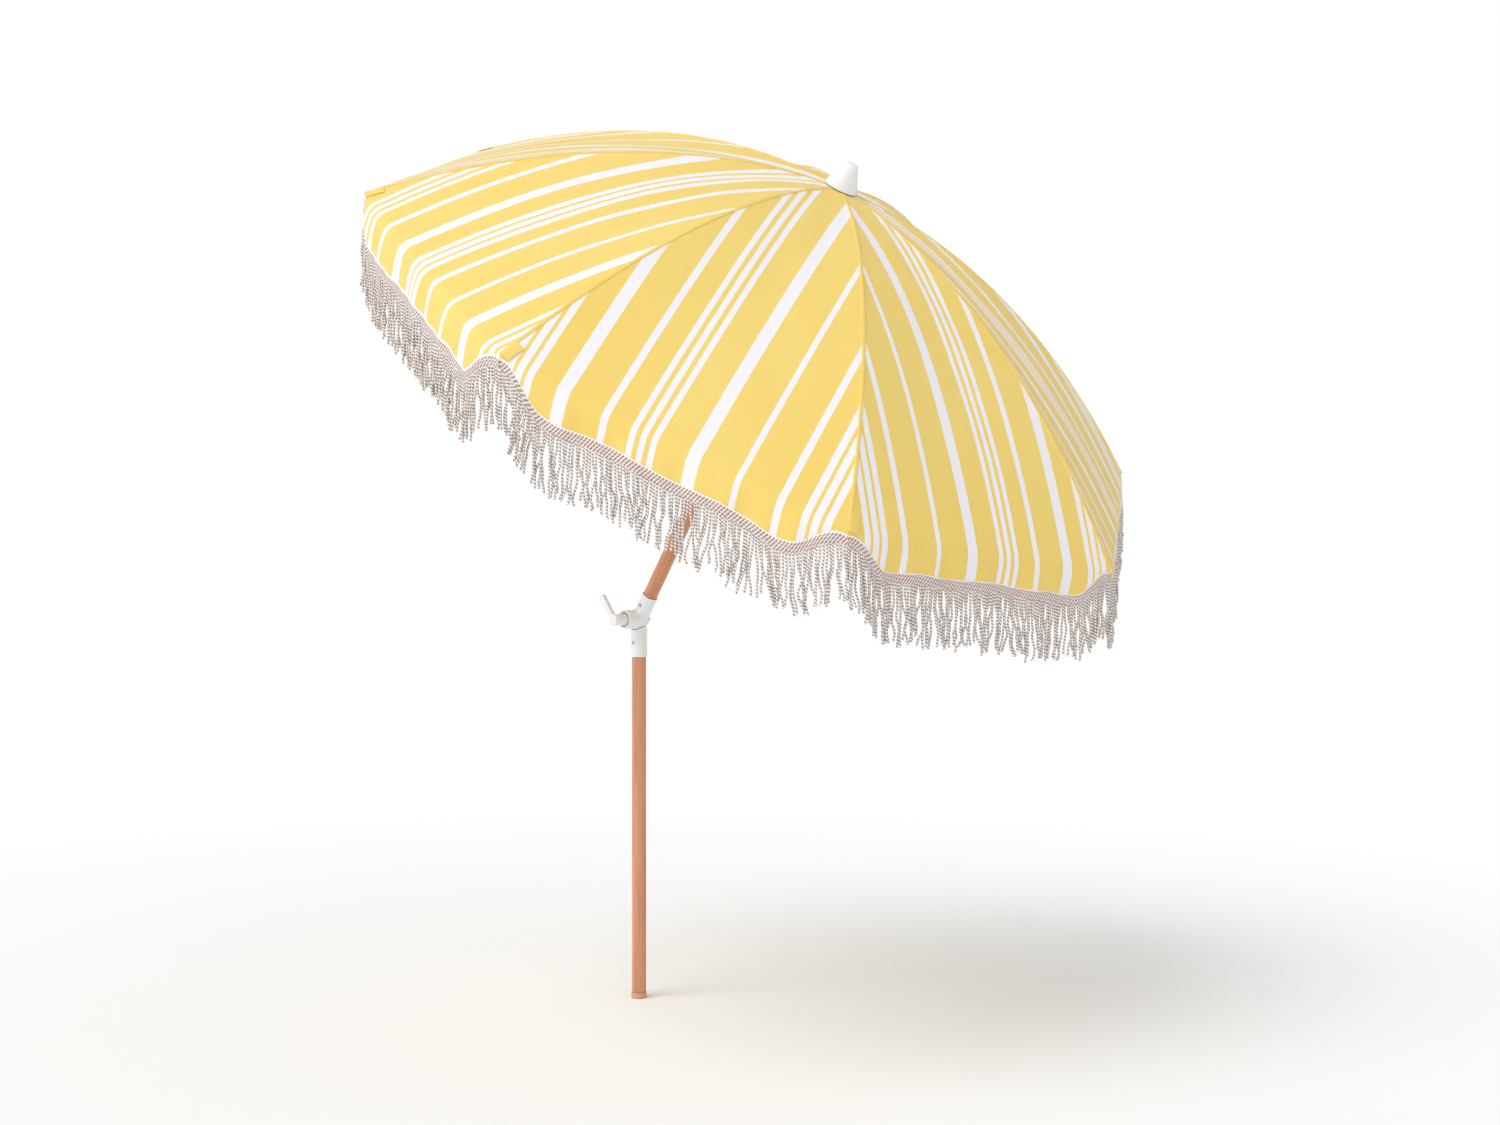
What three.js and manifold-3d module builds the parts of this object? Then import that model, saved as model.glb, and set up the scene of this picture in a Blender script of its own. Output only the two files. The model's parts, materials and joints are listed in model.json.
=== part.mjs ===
// Beach umbrella: timber pole in two lengths, tilt knuckle, eight folding ribs and a striped canopy.
// Millimetres, +Z up, origin at the centre of the pole's foot. The canopy leans towards +X.
import * as THREE from "three";
import { mergeVertices } from "three/addons/utils/BufferGeometryUtils.js";
import Module from "manifold-3d";

const wasm = await Module();
wasm.setup();

// Pole and tilt
const poleRadius = 16;
const pivotHeight = 857;
const tiltAngle = 33.7;
const largestTilt = 50;
const footRadius = 17.8;
const footHeight = 12;

// Knuckle
const sleeveRadius = 18.5;
const sleeveBore = 16.4;
const lowerSleeveBottom = 771;
const lowerSocketTop = 823;
const upperSleeveTop = 65;
const upperSocketBottom = 30;
const drumRadius = 23;
const drumHalfLength = 18.8;
const drumRoundRadius = 25;
const drumRoundStation = -3;
const saddleRadius = 24;
const collarRadius = 21.5;
const collarEnd = -48;
const recessRadius = 16.5;
const recessDepth = 10;
const tongueRadius = 15;
const tongueHalfWidth = 3;
const neckHalfWidth = 8;
const runGap = 0.4;
const boltRadius = 3.8;
const boltHole = 4.3;
const leverHubRadius = 12.7;
const leverHubEnd = -82;
const leverReach = 69;
const leverAngle = 162;
const leverRootHalf = 4.8;
const leverTipHalf = 6.6;
const lowerScrewHeight = 804;
const upperScrewStation = 39;

// Crown, runner and frame, as stations along the upper pole from the tilt pivot
const poleTop = 1072;
const hingeRadius = 26;
const crownHinge = 1060;
const hubBore = 16.4;
const hubSleeveRadius = 21;
const buttonHoleRadius = 4.4;
const buttonDrop = 24;
const flangeRadius = 34;
const ribCount = 8;
const ribPhase = -32.4;
const ribRodRadius = 2.5;
const ribInset = 5.2;
const ribEnd = 878;
const lugRibRadius = 430;
const lugDrop = 9;

// Canopy
const rimRadius = 893;
const rimStation = 717;
const domeHeight = 362;
const domePower = 1.93;
const crownOpening = 20;
const clothThickness = 1.5;
const panelSag = 9;
const seamGap = 0.6;
const valanceDepth = 78;
const valanceArch = 100;
const valanceLean = 0.35;
const fringeLength = 138;
const hangingThickness = 3;
const finialBase = 1081.5;
const finialTop = 1137;
const finialBaseRadius = 35;
const finialTopRadius = 16;

const degrees = Math.PI / 180;
const ribStep = 360 / ribCount;
const halfStep = ribStep / 2;

const finishes = {
  timber: new THREE.MeshStandardMaterial({ color: 0xdc9c72, roughness: 0.55, metalness: 0 }),
  clearPlastic: new THREE.MeshStandardMaterial({ color: 0xc99474, roughness: 0.3, metalness: 0 }),
  whitePlastic: new THREE.MeshStandardMaterial({ color: 0xe9e9ec, roughness: 0.4, metalness: 0 }),
  steel: new THREE.MeshStandardMaterial({ color: 0xb8babd, roughness: 0.35, metalness: 1 }),
  paintedSteel: new THREE.MeshStandardMaterial({ color: 0xe6e6e4, roughness: 0.45, metalness: 0.2 }),
  cloth: new THREE.MeshStandardMaterial({ color: 0xf0d47e, roughness: 0.85, metalness: 0 }),
  cotton: new THREE.MeshStandardMaterial({ color: 0xece6da, roughness: 0.95, metalness: 0 }),
};

// Solids

function solid(geometry) {
  const bare = geometry.clone();
  bare.deleteAttribute("normal");
  bare.deleteAttribute("uv");
  const merged = mergeVertices(bare, 1e-4);
  return new wasm.Manifold(new wasm.Mesh({
    numProp: 3,
    vertProperties: new Float32Array(merged.attributes.position.array),
    triVerts: new Uint32Array(merged.index.array),
  }));
}

function geometryOf(body) {
  const mesh = body.getMesh();
  const geometry = new THREE.BufferGeometry();
  geometry.setAttribute("position", new THREE.BufferAttribute(new Float32Array(mesh.vertProperties), 3));
  geometry.setIndex(new THREE.BufferAttribute(new Uint32Array(mesh.triVerts), 1));
  geometry.computeVertexNormals();
  return geometry;
}

function joined(...bodies) {
  return bodies.reduce((sum, body) => sum.add(body));
}

// Round bar along Z between two heights
function barZ(radius, from, to, sides = 28) {
  const geometry = new THREE.CylinderGeometry(radius, radius, to - from, sides);
  geometry.rotateX(Math.PI / 2);
  geometry.translate(0, 0, (from + to) / 2);
  return solid(geometry);
}

// Round bar along Y between two stations, at x and z
function barY(radius, from, to, sides = 28, x = 0, z = 0) {
  const geometry = new THREE.CylinderGeometry(radius, radius, to - from, sides);
  geometry.translate(x, (from + to) / 2, z);
  return solid(geometry);
}

// Box between two corners, turned about Y
function block(low, high, turnY = 0) {
  const size = high.map((value, i) => value - low[i]);
  const geometry = new THREE.BoxGeometry(...size);
  geometry.translate(...low.map((value, i) => value + size[i] / 2));
  geometry.rotateY(turnY * degrees);
  return solid(geometry);
}

// Turned solid about Z from a profile of radius and height
function turned(profile, sides = 32) {
  const geometry = new THREE.LatheGeometry(profile.map(([r, z]) => new THREE.Vector2(r, z)), sides);
  geometry.rotateX(Math.PI / 2);
  return solid(geometry);
}

// Ring of square section about Z
function ring(inner, outer, from, to, sides = 32) {
  return barZ(outer, from, to, sides).subtract(barZ(inner, from - 1, to + 1, sides));
}

// Closed sheet from a grid of [inside, outside] point pairs
function sheet(grid) {
  const rows = grid.length;
  const columns = grid[0].length;
  const positions = [];
  const faces = [];
  for (const row of grid) {
    for (const [inside, outside] of row) positions.push(...inside, ...outside);
  }
  const at = (row, column, side) => 2 * (row * columns + column) + side;
  const quad = (a, b, c, d) => faces.push(a, b, c, a, c, d);
  for (let i = 0; i + 1 < rows; i++) {
    for (let j = 0; j + 1 < columns; j++) {
      quad(at(i, j, 1), at(i + 1, j, 1), at(i + 1, j + 1, 1), at(i, j + 1, 1));
      quad(at(i, j, 0), at(i, j + 1, 0), at(i + 1, j + 1, 0), at(i + 1, j, 0));
    }
  }
  for (let i = 0; i + 1 < rows; i++) {
    quad(at(i, 0, 0), at(i + 1, 0, 0), at(i + 1, 0, 1), at(i, 0, 1));
    quad(at(i, columns - 1, 1), at(i + 1, columns - 1, 1), at(i + 1, columns - 1, 0), at(i, columns - 1, 0));
  }
  for (let j = 0; j + 1 < columns; j++) {
    quad(at(0, j, 1), at(0, j + 1, 1), at(0, j + 1, 0), at(0, j, 0));
    quad(at(rows - 1, j, 0), at(rows - 1, j + 1, 0), at(rows - 1, j + 1, 1), at(rows - 1, j, 1));
  }
  const geometry = new THREE.BufferGeometry();
  geometry.setAttribute("position", new THREE.BufferAttribute(new Float32Array(positions), 3));
  geometry.setIndex(faces);
  return solid(geometry);
}

function piece(name, body, finish) {
  const mesh = new THREE.Mesh(geometryOf(body), finishes[finish]);
  mesh.name = name;
  return mesh;
}

// Canopy shape

function domeStation(radius) {
  return rimStation + domeHeight * (1 - (radius / rimRadius) ** domePower);
}

function domeSlope(radius) {
  return -(domeHeight * domePower / rimRadius) * (radius / rimRadius) ** (domePower - 1);
}

// Point below the seam line by an inset, in the plane of a rib
function underSeam(radius, inset) {
  const slope = domeSlope(radius);
  const length = Math.hypot(1, slope);
  return [radius + inset * slope / length, domeStation(radius) - inset / length];
}

// Pole and lower knuckle

function footCap() {
  const shell = barZ(footRadius, 0, footHeight);
  return shell.subtract(barZ(poleRadius + 0.3, 2.4, footHeight + 1));
}

function lowerPole() {
  const screwHole = barY(2.2, -poleRadius - 1, -3, 12, 0, lowerScrewHeight);
  return barZ(poleRadius, 2.8, lowerSocketTop - 1).subtract(screwHole);
}

function lowerKnuckle() {
  const sleeve = barZ(sleeveRadius, lowerSleeveBottom, pivotHeight)
    .subtract(barY(saddleRadius, -30, 30, 40, 0, pivotHeight))
    .subtract(barZ(sleeveBore, lowerSleeveBottom - 1, lowerSocketTop))
    .subtract(barY(2.2, -sleeveRadius - 1, -sleeveBore + 1, 12, 0, lowerScrewHeight));
  const neck = block([-neckHalfWidth, -tongueHalfWidth, lowerSocketTop + 3],
    [neckHalfWidth, tongueHalfWidth, pivotHeight]);
  const eye = barY(tongueRadius, -tongueHalfWidth, tongueHalfWidth, 32, 0, pivotHeight);
  const hole = barY(boltHole, -20, 20, 20, 0, pivotHeight);
  return joined(sleeve, neck, eye).subtract(hole);
}

// Pan-head screw pointing along +Y
function panScrew(station) {
  const head = barY(3.4, -sleeveRadius - 2, -sleeveRadius - 0.4, 16, 0, station);
  const shank = barY(1.7, -sleeveRadius - 1, -6, 10, 0, station);
  const slot = block([-0.5, -sleeveRadius - 2.2, station - 4], [0.5, -sleeveRadius - 1.4, station + 4]);
  return joined(head, shank).subtract(slot);
}

// Upper knuckle, clamp and lever, in the mast's own frame with the pivot at the origin

function tongueSlot() {
  const half = tongueHalfWidth + runGap;
  let slot = barY(tongueRadius + 0.8, -half, half, 32);
  for (let turn = 0; turn <= largestTilt; turn += 10) {
    slot = slot.add(block([-neckHalfWidth - 0.6, -half, -drumRadius - 2], [neckHalfWidth + 0.6, half, 0], -turn));
  }
  return slot;
}

function upperKnuckle() {
  const roundEnd = solid(new THREE.SphereGeometry(drumRoundRadius, 40, 24))
    .translate([0, drumRoundStation, 0])
    .intersect(barY(drumRadius, drumRoundStation - 1, drumHalfLength, 40));
  const drum = joined(barY(drumRadius, -drumHalfLength, drumRoundStation, 40), roundEnd);
  const collar = barY(collarRadius, collarEnd, -drumHalfLength + 1, 40);
  const sleeve = barZ(sleeveRadius, 0, upperSleeveTop);
  return joined(drum, collar, sleeve)
    .subtract(barZ(sleeveBore, upperSocketBottom, upperSleeveTop + 1))
    .subtract(barY(recessRadius, collarEnd - 1, collarEnd + recessDepth, 28))
    .subtract(barY(boltHole, collarEnd, drumHalfLength + 1, 20))
    .subtract(barY(2.2, -sleeveRadius - 1, -sleeveBore + 1, 12, 0, upperScrewStation))
    .subtract(tongueSlot());
}

function clampBolt() {
  const shank = barY(boltRadius, leverHubEnd + 14, drumHalfLength + 4, 20);
  const head = barY(8, drumHalfLength + 3, drumHalfLength + 8.5, 6);
  return joined(shank, head);
}

function clampWasher() {
  return barY(11, drumHalfLength + 0.4, drumHalfLength + 2.4, 24)
    .subtract(barY(boltHole, drumHalfLength - 1, drumHalfLength + 4, 20));
}

function tiltLever() {
  const hub = barY(leverHubRadius, leverHubEnd, collarEnd + recessDepth - 0.4, 32);
  const outline = new THREE.Shape();
  outline.moveTo(0, -leverRootHalf);
  outline.lineTo(leverReach - 3, -leverTipHalf);
  outline.lineTo(leverReach, 3 - leverTipHalf);
  outline.lineTo(leverReach, leverTipHalf - 3);
  outline.lineTo(leverReach - 3, leverTipHalf);
  outline.lineTo(0, leverRootHalf);
  const geometry = new THREE.ExtrudeGeometry(outline, { depth: 10, bevelEnabled: false });
  geometry.rotateX(Math.PI / 2);
  geometry.translate(0, leverHubEnd + 11, 0);
  geometry.rotateY(-leverAngle * degrees);
  const bore = barY(boltHole, leverHubEnd + 12, collarEnd + recessDepth, 20);
  return joined(hub, solid(geometry)).subtract(bore);
}

function upperPole() {
  return barZ(poleRadius, upperSocketBottom + 0.8, poleTop)
    .subtract(barZ(4.6, poleTop - 16, poleTop + 1, 20))
    .subtract(barY(2.2, -poleRadius - 1, -3, 12, 0, upperScrewStation));
}

// Crown and runner

function ringSlots(count, width, from, to, inner) {
  const slots = [];
  for (let i = 0; i < count; i++) {
    const geometry = new THREE.BoxGeometry(flangeRadius, width, to - from);
    geometry.translate(inner + flangeRadius / 2, 0, (from + to) / 2);
    geometry.rotateZ((ribPhase + i * ribStep) * degrees);
    slots.push(solid(geometry));
  }
  return joined(...slots);
}

function crownHub() {
  const body = joined(
    ring(hubBore, hubSleeveRadius + 1, crownHinge - 16, poleTop - 3, 28),
    ring(hubSleeveRadius, flangeRadius, crownHinge - 7, crownHinge + 7),
  );
  return body
    .subtract(ringSlots(ribCount, 6.2, crownHinge - 30, crownHinge + 20, hubSleeveRadius - 0.2))
    .subtract(ring(hingeRadius - 1.6, hingeRadius + 1.6, crownHinge - 1.6, crownHinge + 8));
}

function hingeWire() {
  const geometry = new THREE.TorusGeometry(hingeRadius, 1.1, 5, 32);
  geometry.translate(0, 0, crownHinge);
  return solid(geometry);
}

function crownWasher() {
  return barZ(24, poleTop + 0.5, poleTop + 2.5).subtract(barZ(5, poleTop - 1, poleTop + 4, 20));
}

function finial() {
  const rounded = [];
  for (let i = 0; i <= 4; i++) {
    const turn = i * 22.5 * degrees;
    rounded.push([finialTopRadius - 6 + 6 * Math.cos(turn), finialTop - 6 + 6 * Math.sin(turn)]);
  }
  return turned([
    [0, poleTop - 12], [4, poleTop - 12], [4, finialBase + 2], [8, finialBase + 2], [8, finialTop - 12],
    [finialTopRadius - 3.6, finialTop - 12], [finialBaseRadius - 3.2, finialBase + 6],
    [finialBaseRadius - 3.2, finialBase], [finialBaseRadius, finialBase],
    [finialBaseRadius, finialBase + 5], ...rounded, [0, finialTop],
  ], 28);
}

// The button points outwards midway between two ribs
function buttonTurned(shape) {
  return shape.rotate([0, 0, ribPhase + halfStep]);
}

function runner(hinge) {
  const body = joined(
    ring(poleRadius + 0.6, hubSleeveRadius, hinge - 34, hinge + 8, 28),
    ring(hubSleeveRadius - 0.5, 28, hinge - 34, hinge - 14, 28),
    ring(hubSleeveRadius - 0.5, flangeRadius, hinge - 7, hinge + 7),
  );
  return body
    .subtract(ringSlots(ribCount, 6.4, hinge - 40, hinge + 20, hubSleeveRadius - 0.2))
    .subtract(buttonTurned(barY(buttonHoleRadius, -30, -poleRadius, 20, 0, hinge - buttonDrop)));
}

function runnerButton(hinge) {
  const stem = barY(buttonHoleRadius - 0.4, -31.6, -19.5, 20, 0, hinge - buttonDrop);
  const head = barY(6.5, -33.2, -31.4, 24, 0, hinge - buttonDrop);
  return buttonTurned(joined(stem, head));
}

// Ribs and stretchers, in the plane of one rib: x outwards, z along the pole

const lugRibPoint = underSeam(lugRibRadius, ribInset);
const lugPoint = underSeam(lugRibRadius, ribInset + lugDrop);
const runnerHinge = 2 * lugPoint[1] - crownHinge;
const stretcherLength = Math.hypot(lugPoint[0] - hingeRadius, lugPoint[1] - crownHinge);

function ribPath() {
  const stations = [75, 150, 260, 370, 480, 590, 700, 800, ribEnd];
  const points = [[hingeRadius + 2, crownHinge + 0.4], [hingeRadius + 14, crownHinge + 4.2]];
  for (const radius of stations) points.push(underSeam(radius, ribInset));
  return new THREE.CatmullRomCurve3(points.map(([x, z]) => new THREE.Vector3(x, 0, z)));
}

function rib() {
  const section = new THREE.Shape();
  section.absarc(0, 0, ribRodRadius, 0, 2 * Math.PI);
  const rod = solid(new THREE.ExtrudeGeometry(section, {
    steps: 14, curveSegments: 4, bevelEnabled: false, extrudePath: ribPath(),
  }));
  const eye = barY(4.6, -2.4, 2.4, 12, hingeRadius, crownHinge);
  const eyeHole = barY(1.9, -4, 4, 8, hingeRadius, crownHinge);
  const lugEye = barY(3.9, -1.3, 1.3, 10, ...lugPoint);
  const lean = Math.atan2(lugRibPoint[0] - lugPoint[0], lugRibPoint[1] - lugPoint[1]) / degrees;
  const strap = block([-3.2, -1.3, 0], [3.2, 1.3, lugDrop], lean).translate([lugPoint[0], 0, lugPoint[1]]);
  const lugHole = barY(2.2, -3, 3, 8, ...lugPoint);
  return joined(rod, eye, lugEye, strap).subtract(eyeHole).subtract(lugHole);
}

function ribTip() {
  const path = ribPath();
  const end = path.getPoint(1);
  const along = path.getTangent(1);
  const cap = turned([[0, -18], [3.8, -18], [3.8, 2], [3, 5], [0, 6.5]], 12)
    .subtract(barZ(ribRodRadius + 0.6, -19, 0.5, 8));
  const turn = Math.atan2(along.x, along.z) / degrees;
  return cap.rotate([0, turn, 0]).translate([end.x, 0, end.z]);
}

function stretcher() {
  const bar = block([9, -3.6, -3], [stretcherLength - 10, 3.6, 3]);
  const inner = joined(
    block([stretcherLength - 16, -2, -3], [stretcherLength, 2, 3]),
    barY(4, -2, 2, 10, stretcherLength, 0),
  );
  const cheeks = joined(block([0, -3.6, -3], [10, 3.6, 3]), barY(4.4, -3.6, 3.6, 10))
    .subtract(block([-6, -1.8, -6], [9.5, 1.8, 6]));
  const pin = barY(1.6, -4.6, 4.6, 8);
  const body = joined(bar, inner, cheeks, pin).subtract(block([4.5, -1.8, -6], [9.4, 1.8, 6]));
  const fall = Math.atan2(lugPoint[1] - runnerHinge, lugPoint[0] - hingeRadius) / degrees;
  return body.rotate([0, 180 - fall, 0]).translate([lugPoint[0], 0, lugPoint[1]]);
}

// Canopy panel, in its own plane: x outwards along the middle of the panel
function canopyPanel() {
  const rows = 9;
  const columns = 4;
  const grid = [];
  for (let i = 0; i <= rows; i++) {
    const radius = crownOpening + (rimRadius - crownOpening) * i / rows;
    const slope = domeSlope(radius) / Math.cos(halfStep * degrees);
    const length = Math.hypot(1, slope);
    const outward = [-slope / length, 0, 1 / length];
    const half = radius * Math.sin(halfStep * degrees) - seamGap;
    const sagHere = panelSag * Math.sin(Math.PI * i / rows);
    const row = [];
    for (let j = 0; j <= columns; j++) {
      const across = 2 * j / columns - 1;
      const sag = sagHere * (1 - across ** 2);
      const middle = [radius * Math.cos(halfStep * degrees), half * across, domeStation(radius)];
      const inside = middle.map((value, axis) => value - sag * outward[axis]);
      row.push([inside, inside.map((value, axis) => value + clothThickness * outward[axis])]);
    }
    grid.push(row);
  }
  return sheet(grid);
}

// Valance with its fringe, hanging from the rim between two ribs, in the mast's frame

function hemDepth(fromEnd) {
  if (fromEnd >= valanceArch) return valanceDepth;
  return Math.max(6, valanceDepth * Math.sqrt(1 - (1 - fromEnd / valanceArch) ** 2));
}

function valancePanel(index) {
  const corner = (k) => {
    const turn = (ribPhase + k * ribStep) * degrees;
    return new THREE.Vector3(rimRadius * Math.cos(turn), rimRadius * Math.sin(turn), rimStation);
  };
  const start = corner(index);
  const edge = corner(index + 1).sub(start);
  const length = edge.length();
  edge.normalize();
  const flap = new THREE.Vector3(valanceLean, 0, -1).normalize();
  const plumb = new THREE.Vector3(Math.sin(tiltAngle * degrees), 0, -Math.cos(tiltAngle * degrees));
  const flapOut = new THREE.Vector3().crossVectors(flap, edge).normalize();
  const fringeOut = new THREE.Vector3().crossVectors(plumb, edge).normalize();
  const bendOut = flapOut.clone().add(fringeOut).normalize();
  const near = [4, 12, 30, 60, valanceArch, 200, 300];
  const stops = [...near, ...near.map((stop) => length - stop).reverse()];
  const rows = [[], [], []];
  for (const stop of stops) {
    const top = start.clone().addScaledVector(edge, stop).addScaledVector(flap, 1.6);
    const hem = top.clone().addScaledVector(flap, hemDepth(Math.min(stop, length - stop)) - 1.6);
    const tail = hem.clone().addScaledVector(plumb, fringeLength);
    const pair = (point, out) => [-0.5, 0.5].map((side) =>
      point.clone().addScaledVector(out, side * hangingThickness).toArray());
    rows[0].push(pair(top, flapOut));
    rows[1].push(pair(hem, bendOut));
    rows[2].push(pair(tail, fringeOut));
  }
  return sheet(rows);
}

// Assembly

const umbrella = new THREE.Group();
umbrella.add(
  piece("foot_cap", footCap(), "clearPlastic"),
  piece("lower_pole", lowerPole(), "timber"),
  piece("lower_knuckle", lowerKnuckle(), "whitePlastic"),
  piece("lower_screw", panScrew(lowerScrewHeight), "steel"),
);

const mast = new THREE.Group();
mast.position.set(0, 0, pivotHeight);
mast.rotation.y = tiltAngle * degrees;
umbrella.add(mast);
mast.add(
  piece("upper_knuckle", upperKnuckle(), "whitePlastic"),
  piece("upper_screw", panScrew(upperScrewStation), "steel"),
  piece("clamp_bolt", clampBolt(), "steel"),
  piece("clamp_washer", clampWasher(), "steel"),
  piece("tilt_lever", tiltLever(), "whitePlastic"),
  piece("upper_pole", upperPole(), "timber"),
  piece("crown_hub", crownHub(), "whitePlastic"),
  piece("hinge_wire", hingeWire(), "steel"),
  piece("crown_washer", crownWasher(), "steel"),
  piece("finial", finial(), "whitePlastic"),
  piece("runner", runner(runnerHinge), "whitePlastic"),
  piece("runner_button", runnerButton(runnerHinge), "whitePlastic"),
);

for (let k = 0; k < ribCount; k++) {
  const ribPlane = new THREE.Group();
  ribPlane.rotation.z = (ribPhase + k * ribStep) * degrees;
  ribPlane.add(
    piece(`rib_${k + 1}`, rib(), "paintedSteel"),
    piece(`rib_tip_${k + 1}`, ribTip(), "whitePlastic"),
    piece(`stretcher_${k + 1}`, stretcher(), "paintedSteel"),
  );
  const panelPlane = new THREE.Group();
  panelPlane.rotation.z = (ribPhase + halfStep + k * ribStep) * degrees;
  panelPlane.add(piece(`canopy_panel_${k + 1}`, canopyPanel(), "cloth"));
  mast.add(ribPlane, panelPlane, piece(`valance_panel_${k + 1}`, valancePanel(k), "cotton"));
}

export default umbrella;
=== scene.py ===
import json
import math

import bmesh
import bpy
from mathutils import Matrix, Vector

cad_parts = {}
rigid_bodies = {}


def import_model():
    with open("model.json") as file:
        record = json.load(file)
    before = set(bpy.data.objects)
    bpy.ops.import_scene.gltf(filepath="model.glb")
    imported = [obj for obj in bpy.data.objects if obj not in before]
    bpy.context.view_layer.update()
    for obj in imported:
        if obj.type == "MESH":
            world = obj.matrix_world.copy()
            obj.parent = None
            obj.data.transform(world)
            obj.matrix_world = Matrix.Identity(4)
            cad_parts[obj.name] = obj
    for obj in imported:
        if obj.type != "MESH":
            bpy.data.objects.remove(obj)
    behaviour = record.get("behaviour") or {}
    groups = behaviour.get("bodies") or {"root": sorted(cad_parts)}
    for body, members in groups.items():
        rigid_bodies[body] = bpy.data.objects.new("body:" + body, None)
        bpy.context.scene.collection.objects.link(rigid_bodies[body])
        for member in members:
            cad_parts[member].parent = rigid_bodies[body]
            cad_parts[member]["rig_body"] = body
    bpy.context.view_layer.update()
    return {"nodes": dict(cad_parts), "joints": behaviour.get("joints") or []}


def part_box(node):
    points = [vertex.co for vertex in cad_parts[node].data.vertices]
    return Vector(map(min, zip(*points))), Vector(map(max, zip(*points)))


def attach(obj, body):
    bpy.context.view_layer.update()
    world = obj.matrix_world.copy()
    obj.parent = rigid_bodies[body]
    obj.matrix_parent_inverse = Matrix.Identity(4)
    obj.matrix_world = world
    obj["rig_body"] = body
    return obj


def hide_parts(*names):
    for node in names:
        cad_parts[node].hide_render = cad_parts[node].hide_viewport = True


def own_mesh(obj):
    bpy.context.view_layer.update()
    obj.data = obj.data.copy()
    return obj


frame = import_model()
nodes = frame["nodes"]
joints = {joint["name"]: joint for joint in frame["joints"]}


# where things are, from the frame

ribCount = 8
ribStep = 2 * math.pi / ribCount
pivot = Vector(joints["tilt"]["pos_m"])
mastUp = -Vector(joints["runner_slide"]["axis"])  # along the upper pole, towards the finial
across = Vector((0, 1, 0))
leanOut = across.cross(mastUp)
plumb = Vector((0, 0, -1))


def toMast(point):
    offset = Vector(point) - pivot
    return Vector((offset.dot(leanOut), offset.dot(across), offset.dot(mastUp)))


def fromMast(x, y, z):
    return pivot + leanOut * x + across * y + mastUp * z


foldJoints = ["canopy_fold"] + [f"rib_{k + 1}_fold" for k in range(1, ribCount)]
ribHinges = [toMast(joints[name]["pos_m"]) for name in foldJoints]
ribAngles = [math.atan2(hinge.y, hinge.x) for hinge in ribHinges]
rimHinge = toMast(joints["valance_1_swing"]["pos_m"])
rimStation = rimHinge.z
rimRadius = math.hypot(rimHinge.x, rimHinge.y) / math.cos(ribStep / 2)
crownOpening = 0.0205  # radius of the hole that the cloth leaves around the finial's stem


# camera

cameraSettings = {
    "azimuth": 46.25,  # where it stands, from -Y towards +X
    "distance": 4.466,
    "height": 0.967,
    "lookAzimuth": 43.02,
    "lookUp": 0.24,
    "lens": 47.13,
    "sensorWidth": 36,
}


def makeCamera(settings):
    stand = math.radians(settings["azimuth"])
    look = math.radians(settings["lookAzimuth"])
    rise = math.radians(settings["lookUp"])
    distance = settings["distance"]
    data = bpy.data.cameras.new("camera")
    data.lens = settings["lens"]
    data.sensor_width = settings["sensorWidth"]
    camera = bpy.data.objects.new("camera", data)
    camera.location = (math.sin(stand) * distance, -math.cos(stand) * distance, settings["height"])
    forward = Vector((-math.sin(look) * math.cos(rise), math.cos(look) * math.cos(rise), math.sin(rise)))
    camera.rotation_euler = forward.to_track_quat("-Z", "Y").to_euler()
    bpy.context.scene.collection.objects.link(camera)
    bpy.context.scene.camera = camera


makeCamera(cameraSettings)


# node graphs

class Wire:
    # a socket that can be used in sums
    def __init__(self, tree, socket):
        self.tree = tree
        self.socket = socket

    def combine(self, operation, *values):
        node = self.tree.nodes.new("ShaderNodeMath")
        node.operation = operation
        for place, value in enumerate(values):
            connect(self.tree, node.inputs[place], value)
        return Wire(self.tree, node.outputs[0])

    def __add__(self, other):
        return self.combine("ADD", self, other)

    def __radd__(self, other):
        return self.combine("ADD", other, self)

    def __sub__(self, other):
        return self.combine("SUBTRACT", self, other)

    def __rsub__(self, other):
        return self.combine("SUBTRACT", other, self)

    def __mul__(self, other):
        return self.combine("MULTIPLY", self, other)

    def __rmul__(self, other):
        return self.combine("MULTIPLY", other, self)

    def __truediv__(self, other):
        return self.combine("DIVIDE", self, other)

    def __pow__(self, other):
        return self.combine("POWER", self, other)

    def __mod__(self, other):
        return self.combine("FLOORED_MODULO", self, other)

    def sine(self):
        return self.combine("SINE", self)

    def above(self, other):
        return self.combine("GREATER_THAN", self, other)

    def least(self, other):
        return self.combine("MINIMUM", self, other)

    def most(self, other):
        return self.combine("MAXIMUM", self, other)

    def clamped(self):
        return self.least(1.0).most(0.0)

    def wave(self, pitch):
        # swings between 0 and 1, once in each pitch
        return (self * (2 * math.pi / pitch)).sine() * 0.5 + 0.5


def connect(tree, socket, value):
    if isinstance(value, Wire):
        tree.links.new(value.socket, socket)
    elif isinstance(value, bpy.types.NodeSocket):
        tree.links.new(value, socket)
    elif value is not None:
        socket.default_value = value


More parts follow.
